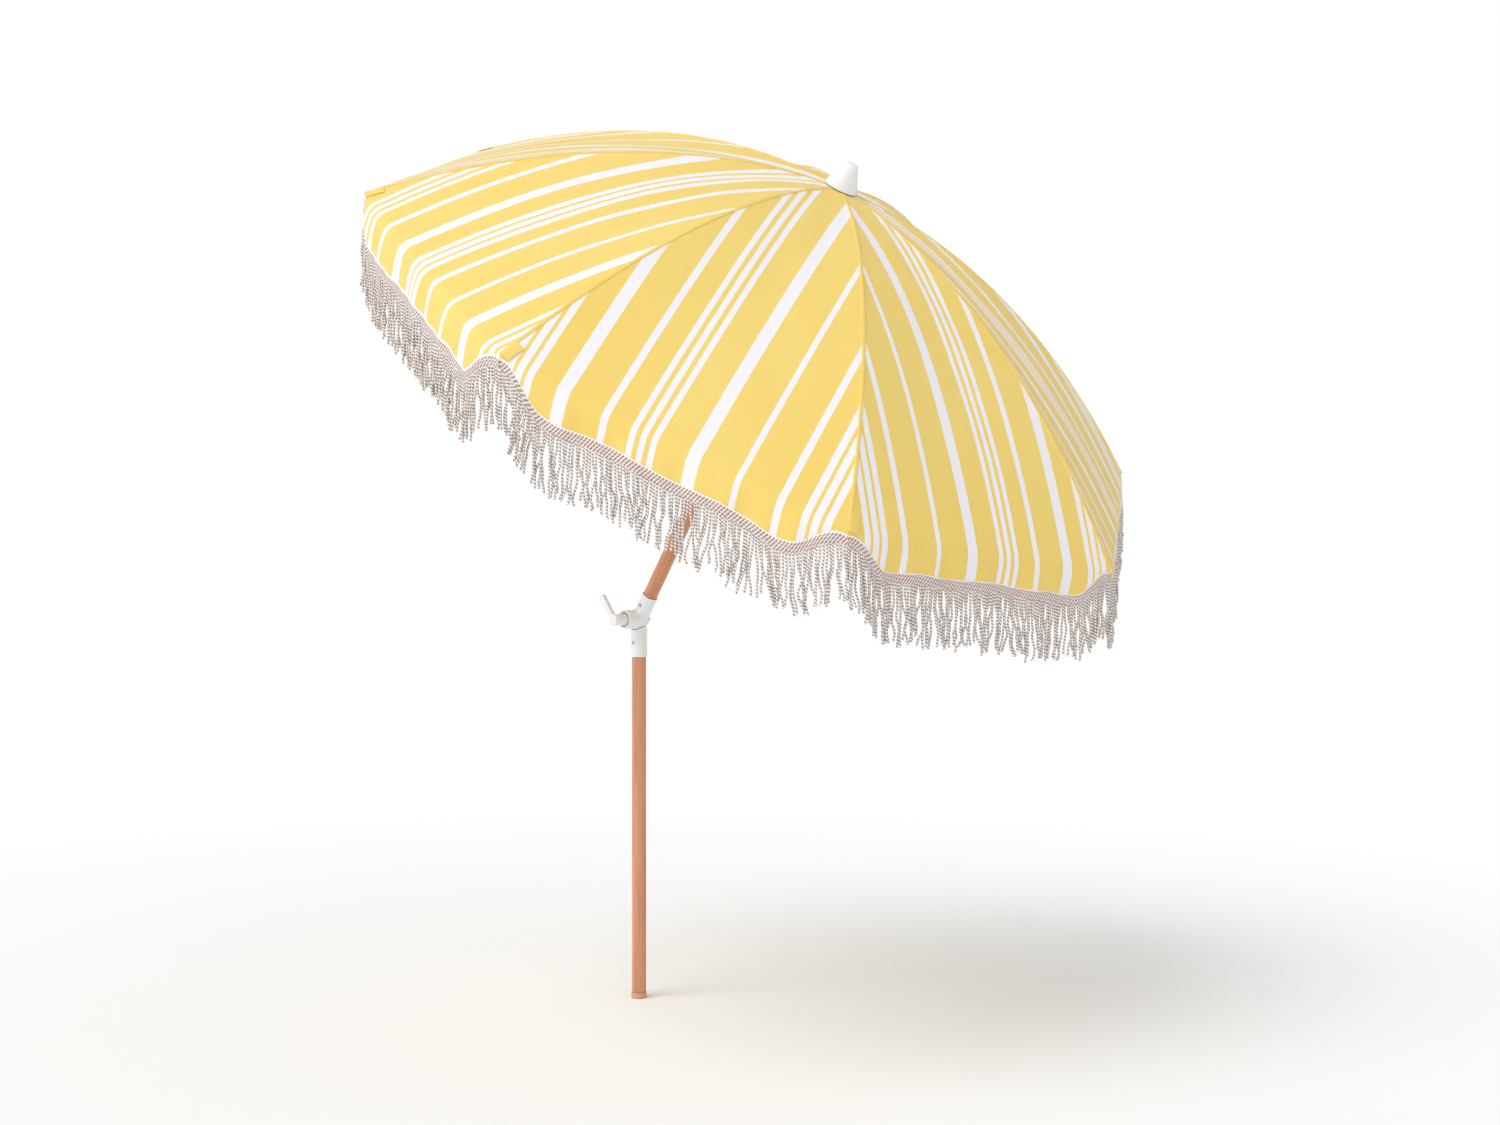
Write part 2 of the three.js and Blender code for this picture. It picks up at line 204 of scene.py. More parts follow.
class Graph:
    # a node tree, with short ways to add to it
    def __init__(self, tree):
        self.tree = tree

    def node(self, kind, settings=None, inputs=None):
        made = self.tree.nodes.new(kind)
        for name, value in (settings or {}).items():
            if name == "stops":
                setRamp(made.color_ramp, value)
            else:
                setattr(made, name, value)
        for name, value in (inputs or {}).items():
            connect(self.tree, made.inputs[name], value)
        return made

    def wire(self, kind, settings=None, inputs=None, output=0):
        return Wire(self.tree, self.node(kind, settings, inputs).outputs[output])

    def mixColor(self, share, first, second, blend="MIX"):
        made = self.tree.nodes.new("ShaderNodeMix")
        made.data_type = "RGBA"
        made.blend_type = blend
        connect(self.tree, made.inputs[0], share)
        connect(self.tree, made.inputs[6], first)
        connect(self.tree, made.inputs[7], second)
        return Wire(self.tree, made.outputs[2])

    def noise(self, vector, scale, detail=2.0, roughness=0.5, output=0):
        return self.wire("ShaderNodeTexNoise", {"noise_dimensions": "3D"},
                         {"Vector": vector, "Scale": scale, "Detail": detail, "Roughness": roughness}, output)

    def place(self):
        return self.wire("ShaderNodeTexCoord", None, None, "Object")

    def stretch(self, vector, scale):
        return self.wire("ShaderNodeMapping", None, {"Vector": vector, "Scale": scale})

    def split(self, vector):
        made = self.node("ShaderNodeSeparateXYZ", None, {"Vector": vector})
        return [Wire(self.tree, output) for output in made.outputs]

    def join(self, x=None, y=None, z=None):
        return self.wire("ShaderNodeCombineXYZ", None, {"X": x, "Y": y, "Z": z})

    def vectorMath(self, operation, first, second=None, scale=None):
        return self.wire("ShaderNodeVectorMath", {"operation": operation}, {0: first, 1: second, 3: scale})


def setRamp(ramp, stops):
    while len(ramp.elements) > 1:
        ramp.elements.remove(ramp.elements[-1])
    ramp.elements[0].position = stops[0][0]
    ramp.elements[0].color = stops[0][1]
    for position, color in stops[1:]:
        ramp.elements.new(position).color = color


def newMaterial(name):
    material = bpy.data.materials.new(name)
    material.use_nodes = True
    graph = Graph(material.node_tree)
    graph.shader = material.node_tree.nodes["Principled BSDF"]
    return material, graph


def rgb(red, green, blue):
    return (red, green, blue, 1.0)


def setShader(graph, **values):
    for name, value in values.items():
        connect(graph.tree, graph.shader.inputs[name.replace("_", " ")], value)


def setBump(graph, height, strength, distance):
    bump = graph.wire("ShaderNodeBump", None, {"Height": height, "Strength": strength, "Distance": distance})
    connect(graph.tree, graph.shader.inputs["Normal"], bump)


# striped canopy cloth

stripeSettings = {
    "period": 0.582,
    "lead": 0.04,  # keeps the first group clear of the wrap
    "groups": [(0.0, "triple"), (0.070, "thin"), (0.153, "thin"), (0.240, "wide"),
               (0.335, "triple"), (0.411, "thin"), (0.496, "wide")],
    "thin": 0.0125,
    "wide": 0.025,
    "tripleStep": 0.0208,
    "plain": 0.115,  # a place across the pattern with no white in it
    "wobble": 0.0016,  # how far a stripe's edge strays
    "yellow": rgb(0.90, 0.70, 0.205),
    "deepYellow": rgb(0.87, 0.61, 0.115),
    "white": rgb(0.89, 0.88, 0.93),
    "slub": rgb(0.72, 0.52, 0.2),
    "slubShare": 0.10,
    "slubStretch": (900, 30, 1),
    "weavePitch": 0.0011,
    "weaveHeight": 0.12,
    "creaseHeight": 1.6,
}


def stripeBands(settings):
    bands = []
    for center, kind in settings["groups"]:
        if kind == "triple":
            bands += [(center + i * settings["tripleStep"], settings["thin"]) for i in (-1, 0, 1)]
        else:
            bands.append((center, settings[kind]))
    return sorted((center + settings["lead"], width) for center, width in bands)


def stripeMask(graph, u, settings):
    # 1 on the white stripes, 0 on the yellow
    period = settings["period"]
    phase = ((u + settings["lead"]) % period) / period
    stops = [(0.0, rgb(0, 0, 0))]
    for center, width in stripeBands(settings):
        stops.append(((center - width / 2) / period, rgb(1, 1, 1)))
        stops.append(((center + width / 2) / period, rgb(0, 0, 0)))
    ramp = graph.node("ShaderNodeValToRGB", {"stops": stops}, {"Fac": phase})
    ramp.color_ramp.interpolation = "CONSTANT"
    return Wire(graph.tree, ramp.outputs["Color"])


def canopyCloth(settings):
    material, graph = newMaterial("canopyCloth")
    cloth = graph.wire("ShaderNodeUVMap", {"uv_map": "cloth"})
    u, v, _ = graph.split(cloth)
    spot = graph.place()
    wobble = (graph.noise(cloth, scale=60.0) - 0.5) * settings["wobble"]
    mask = stripeMask(graph, u + wobble, settings)
    patches = graph.noise(spot, scale=3.5, detail=3.0)
    yellow = graph.mixColor(patches, settings["yellow"], settings["deepYellow"])
    slub = graph.noise(graph.stretch(cloth, settings["slubStretch"]), scale=1.0)
    color = graph.mixColor(mask, yellow, settings["white"])
    shaded = graph.mixColor(settings["slubShare"] * slub, color, settings["slub"], "MULTIPLY")
    turn = 2 * math.pi / settings["weavePitch"]
    weave = (u * turn).sine() * (v * turn).sine()
    creases = graph.noise(spot, scale=14.0, detail=3.0, roughness=0.55)
    relief = weave * settings["weaveHeight"] + creases * settings["creaseHeight"]
    setBump(graph, relief, strength=0.35, distance=0.0022)
    setShader(graph, Base_Color=shaded, Roughness=0.6 + 0.14 * slub, Sheen_Weight=0.15, Sheen_Roughness=0.5,
              Specular_IOR_Level=0.5)
    return material


# twisted cords and the knitted band above them

cordSettings = {
    "light": rgb(0.98, 0.96, 0.94),
    "worn": rgb(0.90, 0.84, 0.78),
    # painted shade: the grooves between the twisted plies are coloured with this dark brown
    "dark": rgb(0.27, 0.165, 0.125),
    "beadPitch": 0.0062,
}
knitSettings = {
    "light": rgb(0.98, 0.96, 0.94),
    # painted shade: the knit's grooves are coloured with this dark brown
    "dark": rgb(0.27, 0.165, 0.125),
    "blush": rgb(0.82, 0.68, 0.63),
    "blushShare": 0.6,
    "slantPitch": 0.0066,
    "slantRise": 0.8,
    "rowPitch": 0.0066,
    "rowDrift": 0.1,
    "edgeHeight": 0.0004,  # above the hem line by this much, the band is its plain light edge
}


def twistedCotton(settings):
    material, graph = newMaterial("twistedCotton")
    twist = graph.wire("ShaderNodeAttribute", {"attribute_name": "twist"}, None, "Vector")
    cosine, sine, along = graph.split(twist)
    around = cosine.combine("ARCTAN2", sine, cosine)
    lobes = (around + along * (2 * math.pi / settings["beadPitch"])).sine() * 0.5 + 0.5
    # painted shade: the grooves between the twisted plies are darkened towards the dark brown
    grooveShade = (1 - lobes) ** 2.2
    age = graph.noise(graph.place(), scale=26.0)
    light = graph.mixColor(age, settings["light"], settings["worn"])
    color = graph.mixColor(grooveShade, light, settings["dark"])
    setBump(graph, lobes, strength=0.9, distance=0.0016)
    setShader(graph, Base_Color=color, Roughness=0.92, Sheen_Weight=0.25, Sheen_Roughness=0.6)
    return material


def knittedHeader(settings):
    material, graph = newMaterial("knittedHeader")
    along, height, _ = graph.split(graph.wire("ShaderNodeUVMap", {"uv_map": "cloth"}))
    slant = (along + height * settings["slantRise"]).wave(settings["slantPitch"])
    rows = (height - along * settings["rowDrift"]).wave(settings["rowPitch"])
    tone = graph.noise(graph.place(), scale=140.0)
    # painted shade: where the slant wave is low, the knit's grooves are darkened towards the dark brown, with
    # some random tone added
    dark = ((1 - slant) ** 1.3 * (0.5 + rows * 0.7) + (tone - 0.5) * 0.3).clamped()
    body = graph.mixColor(dark, settings["light"], settings["dark"])
    blush = graph.mixColor(settings["blushShare"], body, settings["blush"], "MULTIPLY")
    edge = (height * -1).above(settings["edgeHeight"])
    color = graph.mixColor(edge, blush, settings["light"])
    setBump(graph, slant + rows * 0.4, strength=0.8, distance=0.0016)
    setShader(graph, Base_Color=color, Roughness=0.93, Sheen_Weight=0.2, Sheen_Roughness=0.6)
    return material


threadSettings = {
    "light": rgb(0.86, 0.60, 0.2),
    "dark": rgb(0.7, 0.42, 0.1),
}


def stitchThread(settings):
    material, graph = newMaterial("stitchThread")
    tone = graph.noise(graph.place(), scale=300.0)
    color = graph.mixColor(tone, settings["light"], settings["dark"])
    setBump(graph, tone, strength=0.4, distance=0.0003)
    setShader(graph, Base_Color=color, Roughness=0.7)
    return material


# oiled timber of the two poles

timberSettings = {
    "pale": rgb(0.71, 0.34, 0.19),
    "warm": rgb(0.54, 0.215, 0.105),
    "line": rgb(0.30, 0.105, 0.048),
    "grainStretch": (38, 38, 1.6),
    "poreStretch": (420, 420, 9),
    "broadStretch": (9, 9, 2.2),
    "ringShare": 0.28,
    "poreShare": 0.25,
    "poreFrom": 0.62,
    "upperShift": 0.35,  # so that the two poles aren't the same length of wood
}


def timber(name, settings, lean, shift):
    material, graph = newMaterial(name)
    upright = graph.wire("ShaderNodeMapping", {"vector_type": "POINT"},
                         {"Vector": graph.place(), "Rotation": (0, lean, 0), "Location": (shift, 0, 0)})
    grain = graph.noise(graph.stretch(upright, settings["grainStretch"]), scale=1.0, detail=4.0,
                        roughness=0.6)
    fine = graph.noise(graph.stretch(upright, settings["poreStretch"]), scale=1.0, detail=3.0)
    broad = graph.noise(graph.stretch(upright, settings["broadStretch"]), scale=1.0)
    rings = ((grain * 26 + broad * 8).sine() * 0.5 + 0.5) ** 2.0
    body = graph.mixColor(broad, settings["pale"], settings["warm"])
    streaked = graph.mixColor(rings * settings["ringShare"], body, settings["line"])
    pores = fine.above(settings["poreFrom"]) * settings["poreShare"]
    color = graph.mixColor(pores, streaked, settings["line"])
    setBump(graph, grain * 0.6 + fine * 0.4, strength=0.25, distance=0.0006)
    setShader(graph, Base_Color=color, Roughness=0.42 + fine * 0.2, Coat_Roughness=0.25, Coat_Weight=0.25)
    return material


# moulded plastic, and the clear cap that shows the timber's end through it

plasticSettings = {
    "clean": rgb(0.85, 0.87, 0.92),
    "cloudy": rgb(0.80, 0.82, 0.87),
    "scuff": rgb(0.72, 0.71, 0.70),
    "scuffStretch": (260, 260, 40),
    "scuffFrom": 0.68,
    "scuffShare": 0.2,
}
clearSettings = {
    "pale": rgb(0.66, 0.36, 0.22),
    "deep": rgb(0.50, 0.25, 0.14),
    "sole": rgb(0.25, 0.11, 0.06),
    "soleHeight": 0.0012,
    "streakStretch": (90, 90, 12),
}


def whitePlastic(settings):
    material, graph = newMaterial("whitePlastic")
    spot = graph.place()
    grainy = graph.noise(spot, scale=900.0)
    cloudy = graph.noise(spot, scale=22.0, detail=3.0)
    scuffs = graph.noise(graph.stretch(spot, settings["scuffStretch"]), scale=1.0, detail=4.0)
    color = graph.mixColor(cloudy, settings["clean"], settings["cloudy"])
    marks = scuffs.above(settings["scuffFrom"]) * settings["scuffShare"]
    worn = graph.mixColor(marks, color, settings["scuff"])
    setBump(graph, grainy, strength=0.12, distance=0.0003)
    setShader(graph, Base_Color=worn, Roughness=0.36 + cloudy * 0.16, Specular_IOR_Level=0.5)
    return material


def clearPlastic(settings):
    material, graph = newMaterial("clearPlastic")
    spot = graph.place()
    streaks = graph.noise(graph.stretch(spot, settings["streakStretch"]), scale=1.0, detail=3.0)
    color = graph.mixColor(streaks, settings["pale"], settings["deep"])
    height = graph.split(spot)[2]
    shown = graph.mixColor(height.above(settings["soleHeight"]), settings["sole"], color)
    setBump(graph, graph.noise(spot, scale=500.0), strength=0.1, distance=0.0003)
    setShader(graph, Base_Color=shown, Roughness=0.22 + streaks * 0.1, Coat_Weight=0.5, Coat_Roughness=0.12)
    return material


# metals

metalSettings = {
    "zincSteel": {"clean": rgb(0.62, 0.62, 0.64), "dull": rgb(0.45, 0.45, 0.47),
                  "roughness": 0.3, "metallic": 1.0},
    "powderCoat": {"clean": rgb(0.80, 0.80, 0.79), "dull": rgb(0.72, 0.72, 0.71),
                   "roughness": 0.45, "metallic": 0.0},
    "lineStretch": (700, 700, 60),
}


def metal(name):
    settings = metalSettings[name]
    material, graph = newMaterial(name)
    spot = graph.place()
    lines = graph.noise(graph.stretch(spot, metalSettings["lineStretch"]), scale=1.0, detail=3.0)
    marks = graph.noise(spot, scale=60.0, detail=3.0)
    color = graph.mixColor(marks, settings["clean"], settings["dull"])
    setBump(graph, lines, strength=0.15, distance=0.0003)
    setShader(graph, Base_Color=color, Roughness=settings["roughness"] + lines * 0.18,
              Metallic=settings["metallic"])
    return material


upperLean = -math.atan2(mastUp.x, mastUp.z)
finishes = {
    "canopyCloth": canopyCloth(stripeSettings),
    "twistedCotton": twistedCotton(cordSettings),
    "knittedHeader": knittedHeader(knitSettings),
    "stitchThread": stitchThread(threadSettings),
    "lowerTimber": timber("lowerTimber", timberSettings, 0.0, 0.0),
    "upperTimber": timber("upperTimber", timberSettings, upperLean, timberSettings["upperShift"]),
    "whitePlastic": whitePlastic(plasticSettings),
    "clearPlastic": clearPlastic(clearSettings),
    "zincSteel": metal("zincSteel"),
    "powderCoat": metal("powderCoat"),
}
print("materials made:", len(finishes))


# mesh helpers

sheetCrease = math.radians(55)  # a cloth's cut edges are sharper than this, its folds aren't


def makePiece(name, points, faces, material, uvs=None):
    mesh = bpy.data.meshes.new(name)
    mesh.from_pydata([tuple(point) for point in points], [], faces)
    mesh.polygons.foreach_set("use_smooth", [True] * len(mesh.polygons))
    if uvs:
        layer = mesh.uv_layers.new(name="cloth")
        for loop in mesh.loops:
            layer.data[loop.index].uv = uvs[loop.vertex_index]
    mesh.materials.append(material)
    mesh.validate()
    made = bpy.data.objects.new(name, mesh)
    bpy.context.scene.collection.objects.link(made)
    return made


def closedSheet(name, inner, outer, uvRows, material):
    # one closed skin from two matching grids of points
    rows = len(inner)
    columns = len(inner[0])
    points = [p for row in inner for p in row] + [p for row in outer for p in row]
    uvs = [uv for row in uvRows for uv in row] * 2
    lift = rows * columns
    faces = []
    for i in range(rows - 1):
        for j in range(columns - 1):
            a = i * columns + j
            b = a + 1
            c = b + columns
            d = a + columns
            faces.append((a, b, c, d))
            faces.append((lift + d, lift + c, lift + b, lift + a))
    rim = [(i, 0) for i in range(rows)] + [(rows - 1, j) for j in range(1, columns)]
    rim += [(i, columns - 1) for i in range(rows - 2, -1, -1)] + [(0, j) for j in range(columns - 2, 0, -1)]
    for here, there in zip(rim, rim[1:] + rim[:1]):
        a = here[0] * columns + here[1]
        b = there[0] * columns + there[1]
        faces.append((a, b, lift + b, lift + a))
    made = makePiece(name, points, faces, material, uvs)
    faceOut(made)
    made.data.set_sharp_from_angle(angle=sheetCrease)
    return made


def faceOut(made):
    work = bmesh.new()
    work.from_mesh(made.data)
    bmesh.ops.recalc_face_normals(work, faces=work.faces)
    work.to_mesh(made.data)
    work.free()


def smoothStep(value):
    value = min(max(value, 0.0), 1.0)
    return value * value * (3 - 2 * value)


def waves(parts, k, *places):
    # a sum of sines: each part is its size, its rate along each place, and its shift from panel to panel
    total = 0.0
    for size, *rates, shift in parts:
        total += size * math.sin(sum(place * rate for place, rate in zip(places, rates)) + k * shift)
    return total


# canopy panels

canopySettings = {
    "domeHeight": 0.362,
    "domePower": 1.93,
    "sag": 0.009,  # how far the cloth dips between two ribs
    "rows": 56,
    "columns": 34,
    "crowding": 0.8,  # below 1, the columns stand closer together towards the seams
    "seamGap": 0.0003,
    "skinLow": 0.0002,
    "skinHigh": 0.0012,
    "pucker": 0.0010,
    "puckerPitch": 0.031,
    "puckerDrift": 2.1,
    "puckerDriftRate": 37,
    "puckerShift": 1.7,
    "puckerReach": 0.028,
    "puckerEdge": 0.004,
    "puckerEnds": (12, 14),  # how quickly it grows from the crown, and from the rim
    "crownGather": 1.6,
    "crownReach": 0.16,
    "billow": 0.0016,
    "billowWaves": [(1.0, 4.1, 7.3, 1.9), (0.6, 9.2, -17, 2.7)],
    # which way the pattern runs across each panel, and where it starts
    "phases": [(1, -0.279), (1, -0.333), (-1, 0.250), (1, -0.120),
               (-1, 0.180), (1, -0.250), (1, -0.022), (-1, 0.284)],
    "keep": 0.23,
    "areaShare": 0.52,
}


def domeStation(radius):
    share = radius / rimRadius
    return rimStation + canopySettings["domeHeight"] * (1 - share ** canopySettings["domePower"])


def domeSlope(radius):
    power = canopySettings["domePower"]
    return -canopySettings["domeHeight"] * power / rimRadius * (radius / rimRadius) ** (power - 1)


def panelAxes(k):
    angle = ribAngles[k] + ribStep / 2
    outward = leanOut * math.cos(angle) + across * math.sin(angle)
    return outward, mastUp.cross(outward)


def puckerHeight(k, radius, run, fromSeam):
    # small gathers that the seam's thread pulls into the cloth
    settings = canopySettings
    drift = settings["puckerDrift"] * math.sin(radius * settings["puckerDriftRate"])
    wave = math.sin(2 * math.pi * radius / settings["puckerPitch"] + settings["puckerShift"] * k + drift)
    reach = math.exp(-fromSeam / settings["puckerReach"]) * (1 - math.exp(-fromSeam / settings["puckerEdge"]))
    crown = 1 + settings["crownGather"] * math.exp(-radius / settings["crownReach"])
    fromCrown, fromRim = settings["puckerEnds"]
    ends = smoothStep(run * fromCrown) * smoothStep((1 - run) * fromRim)
    return settings["pucker"] * wave * reach * crown * ends


def panelPoint(k, radius, share, lift):
    # share runs from -1 at rib k to 1 at the next rib
    settings = canopySettings
    outward, sideways = panelAxes(k)
    slope = domeSlope(radius) / math.cos(ribStep / 2)
    normal = (outward * -slope + mastUp) / math.hypot(1, slope)
    half = radius * math.sin(ribStep / 2) - settings["seamGap"]
    run = (radius - crownOpening) / (rimRadius - crownOpening)
    middle = math.sin(math.pi * run) * (1 - share * share)
    drop = settings["sag"] * middle
    rise = puckerHeight(k, radius, run, half * (1 - abs(share)))
    rise += settings["billow"] * middle * waves(settings["billowWaves"], k, share, radius)
    place = outward * (radius * math.cos(ribStep / 2)) + sideways * (half * share)
    return pivot + place + mastUp * domeStation(radius) + normal * (lift - drop + rise)


def patternAcross(k, offset):
    direction, start = canopySettings["phases"][k]
    return direction * (offset - start)


def makePanel(k):
    settings = canopySettings
    inner, outer, uvRows = [], [], []
    even = [2 * j / settings["columns"] - 1 for j in range(settings["columns"] + 1)]
    shares = [math.copysign(abs(share) ** settings["crowding"], share) for share in even]
    travel = 0.0
    before = crownOpening
    for i in range(settings["rows"] + 1):
        radius = crownOpening + (rimRadius - crownOpening) * i / settings["rows"]
        travel += math.hypot(radius - before, domeStation(radius) - domeStation(before))
        before = radius
        inner.append([panelPoint(k, radius, share, settings["skinLow"]) for share in shares])
        outer.append([panelPoint(k, radius, share, settings["skinHigh"]) for share in shares])
        half = radius * math.sin(ribStep / 2)
        uvRows.append([(patternAcross(k, half * share), travel) for share in shares])
    return closedSheet(f"canopyPanel{k + 1}", inner, outer, uvRows, finishes["canopyCloth"]), travel


# valance flaps

valanceSettings = {
    "depth": 0.072,
    "droop": [-0.010, -0.003, 0.002, -0.002, 0.003, 0.001, 0.010, -0.006],  # sewing differences between flaps
    "cornerDepth": 0.010,
    "archStart": 0.006,
    "archEnd": 0.098,
    "dip": 0.005,
    "dipPlace": 0.125,
    "dipWidth": 0.035,
    "waver": [(0.0022, 31, 2.3)],
    "lean": 0.35,
    "rows": 12,
    "columns": 96,
    "bend": 0.046,
    "bendFollow": 0.8,  # the share of the bend that still runs down the canopy's slope
    "endReach": 0.05,
    "ripple": 0.0024,
    "rippleDepth": 0.07,
    "rippleWaves": [(1.0, 43, 2.1), (0.6, 97, 1.0)],
    "patternDrop": 1.2,
    "areaShare": 0.86,
}
flapDown = (leanOut * valanceSettings["lean"] - mastUp).normalized()


def rimCorner(k):
    angle = ribAngles[k % ribCount]
    return fromMast(rimRadius * math.cos(angle), rimRadius * math.sin(angle), rimStation)


def rimEdge(k):
    edge = rimCorner(k + 1) - rimCorner(k)
    return edge.normalized(), edge.length


def hemDepth(k, along, length):
    settings = valanceSettings
    near = min(along, length - along)
    arch = smoothStep((near - settings["archStart"]) / (settings["archEnd"] - settings["archStart"]))
    dip = settings["dip"] * math.exp(-((near - settings["dipPlace"]) / settings["dipWidth"]) ** 2)
    depth = settings["depth"] + settings["droop"][k]
    waver = waves(settings["waver"], k, along) * arch
    return settings["cornerDepth"] + (depth - settings["cornerDepth"]) * arch + dip + waver


def valancePoint(k, along, depth, lift=0.0):
    # a point of the flap, depth measured down the cloth from the rim
    settings = valanceSettings
    edge, length = rimEdge(k)
    outward, _ = panelAxes(k)
    slope = domeSlope(rimRadius) / math.cos(ribStep / 2)
    tangent = (outward + mastUp * slope).normalized()
    turned = smoothStep(depth / settings["bend"])
    slopePart = min(depth, settings["bend"]) * (1 - turned / 2)
    flapPart = depth - slopePart
    ends = smoothStep(min(along, length - along) / settings["endReach"])
    follow = slopePart * settings["bendFollow"] * ends
    place = rimCorner(k) + edge * along + tangent * follow + flapDown * (flapPart + slopePart - follow)
    hanging = edge.cross(flapDown).normalized()
    if hanging.dot(outward) < 0:
        hanging.negate()
    level = (mastUp - outward * slope).normalized()
    normal = level.lerp(hanging, turned).normalized()
    fall = smoothStep(depth / settings["rippleDepth"])
    ripple = settings["ripple"] * fall * ends * waves(settings["rippleWaves"], k, along)
    return place + normal * (lift + ripple)


def makeValance(k):
    settings = valanceSettings
    length = rimEdge(k)[1]
    inner, outer, uvRows = [], [], []
    stops = [length * j / settings["columns"] for j in range(settings["columns"] + 1)]
    for i in range(settings["rows"] + 1):
        share = i / settings["rows"]
        spots = [(stop, hemDepth(k, stop, length) * share) for stop in stops]
        inner.append([valancePoint(k, stop, depth, canopySettings["skinLow"]) for stop, depth in spots])
        outer.append([valancePoint(k, stop, depth, canopySettings["skinHigh"]) for stop, depth in spots])
        uvRows.append([(patternAcross(k, stop - length / 2), settings["patternDrop"] + depth)
                       for stop, depth in spots])
    return closedSheet(f"valanceFlap{k + 1}", inner, outer, uvRows, finishes["canopyCloth"]), length


# geometry node helpers

def newTree(name, inputs):
    tree = bpy.data.node_groups.new(name, "GeometryNodeTree")
    tree.interface.new_socket("Geometry", in_out="INPUT", socket_type="NodeSocketGeometry")
    sockets = {}
    for label, kind in inputs:
        sockets[label] = tree.interface.new_socket(label, in_out="INPUT", socket_type=kind).identifier
    tree.interface.new_socket("Geometry", in_out="OUTPUT", socket_type="NodeSocketGeometry")
    graph = Graph(tree)
    given = {output.name: output for output in graph.node("NodeGroupInput").outputs}
    return graph, given, sockets


def endTree(graph, geometry, material):
    real = graph.wire("GeometryNodeRealizeInstances", None, {"Geometry": geometry})
    smooth = graph.wire("GeometryNodeSetShadeSmooth", None, {"Geometry": real})
    painted = graph.wire("GeometryNodeSetMaterial", None, {"Geometry": smooth, "Material": material})
    sink = graph.node("NodeGroupOutput")
    connect(graph.tree, sink.inputs[0], painted)


def pathObject(name, points):
    curve = bpy.data.curves.new(name, "CURVE")
    curve.dimensions = "3D"
    spline = curve.splines.new("POLY")
    spline.points.add(len(points) - 1)
    for place, point in zip(spline.points, points):
        place.co = (*point, 1.0)
    made = bpy.data.objects.new(name, curve)
    bpy.context.scene.collection.objects.link(made)
    return made


def bakeNodes(name, points, tree, sockets, values):
    # runs the tree on a path and keeps the result as a plain mesh
    source = pathObject(name + "Path", points)
    modifier = source.modifiers.new("nodes", "NODES")
    modifier.node_group = tree
    for label, value in values.items():
        modifier[sockets[label]] = value
    bpy.context.view_layer.update()
    depsgraph = bpy.context.evaluated_depsgraph_get()
    evaluated = source.evaluated_get(depsgraph)
    mesh = bpy.data.meshes.new_from_object(evaluated, depsgraph=depsgraph)
    mesh.name = name
    source.modifiers.remove(modifier)
    bpy.data.objects.remove(source)
    made = bpy.data.objects.new(name, mesh)
    bpy.context.scene.collection.objects.link(made)
    return made


# fringe cords

fringeSettings = {
    "spacing": 0.0061,
    "length": 0.109,
    "shortest": 0.90,  # of that length
    "longest": 1.05,
    "radius": 0.00225,
    "steps": 11,
    "sides": 5,
    "clump": 0.017,
    "clumpScale": 34.0,
    "clumpShare": 6.0,
    "clumpCurve": 1.5,
    "sway": 0.0085,
    "swayShare": 3.2,
    "swayScale": 260.0,
    "swayRise": 2.3,
    "seedStep": 7.31,
    "firstSeed": 3,
    "tuck": 0.004,  # how far the cords reach up into the band
    "pathSteps": 220,
    "pathInset": 0.002,
}


def hangCords(graph, given):
    # a straight cord at each step along the hem, scaled to a length of its own
    settings = fringeSettings
    spaced = graph.wire("GeometryNodeResampleCurve", {"mode": "LENGTH"},
                        {"Curve": given["Geometry"], "Length": given["Spacing"]})
    root = graph.node("GeometryNodeCaptureAttribute", {"domain": "POINT"}, {"Geometry": spaced})
    root.capture_items.new("VECTOR", "root")
    connect(graph.tree, root.inputs["root"], graph.wire("GeometryNodeInputPosition"))
    line = graph.wire("GeometryNodeCurvePrimitiveLine", None, {"Start": (0, 0, 0), "End": (0, 0, -1)})
    cord = graph.wire("GeometryNodeResampleCurve", {"mode": "COUNT"},
                      {"Curve": line, "Count": settings["steps"]})
    share = graph.wire("FunctionNodeRandomValue", {"data_type": "FLOAT"},
                       {"Seed": given["Seed"], 2: settings["shortest"], 3: settings["longest"]}, 1)
    scale = graph.join(1.0, 1.0, share * given["Length"])
    hung = graph.wire("GeometryNodeInstanceOnPoints", None,
                      {"Points": root.outputs["Geometry"], "Instance": cord, "Scale": scale})
    return graph.wire("GeometryNodeRealizeInstances", None, {"Geometry": hung}), root.outputs["root"]


def swayCords(graph, given, cords, root):
    # neighbours lean the same way in clumps, more towards the ends, and each cord wavers a little
    settings = fringeSettings
    factor = graph.wire("GeometryNodeSplineParameter", None, None, "Factor")
    seedShift = Wire(graph.tree, given["Seed"]) * settings["seedStep"]
    clumpSpot = graph.vectorMath("ADD", root, graph.join(seedShift))
    clump = graph.noise(clumpSpot, settings["clumpScale"]) - 0.5
    lean = clump * given["Clump"] * settings["clumpShare"] * factor ** settings["clumpCurve"]
    fineSpot = graph.vectorMath("SCALE", clumpSpot, scale=settings["swayScale"])
    fineSum = graph.vectorMath("ADD", fineSpot, graph.join(z=factor * settings["swayRise"]))
    fineNoise = graph.noise(fineSum, scale=1.0, detail=1.0, output="Color")
    centered = graph.vectorMath("SUBTRACT", fineNoise, (0.5, 0.5, 0.5))
    fade = factor.least(0.5) * 2.0
    waver = graph.vectorMath("SCALE", centered, scale=fade * given["Sway"] * settings["swayShare"])
    sideways = graph.vectorMath("SCALE", given["Along"], scale=lean)
    offset = graph.vectorMath("ADD", waver, sideways)
    return graph.wire("GeometryNodeSetPosition", None, {"Geometry": cords, "Offset": offset})


